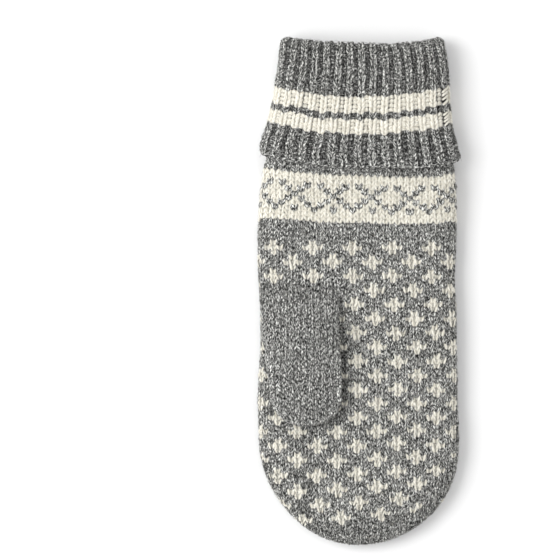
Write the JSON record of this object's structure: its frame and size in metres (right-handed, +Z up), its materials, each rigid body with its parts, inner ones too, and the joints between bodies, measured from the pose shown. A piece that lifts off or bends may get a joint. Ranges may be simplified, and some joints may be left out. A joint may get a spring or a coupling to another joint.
{
  "type": "mitten",
  "caption": "Knitted wool mitten lying palm up: a rounded hand with a folded-down thumb and a turned-back ribbed cuff, dotted palm, starred back, open at the wrist.",
  "frame": {"origin": "middle of the footprint, on the surface that the mitten lies on", "axes": "+Z up from the back of the hand to the palm, +Y along the mitten towards the wrist opening, -Y towards the fingertips, -X towards the thumb's side"},
  "size_m": [0.106, 0.2668, 0.0272],
  "materials": {
    "patterned_knit": "milled stranded wool, heathered grey with off-white figures",
    "plain_knit": "plain heathered grey wool knit",
    "rib_knit": "one-by-one rib in heathered grey wool with two off-white stripes"
  },
  "bodies": {
    "root": {"hand": "patterned_knit", "thumb": "plain_knit", "cuff": "rib_knit"}
  },
  "joints": []
}
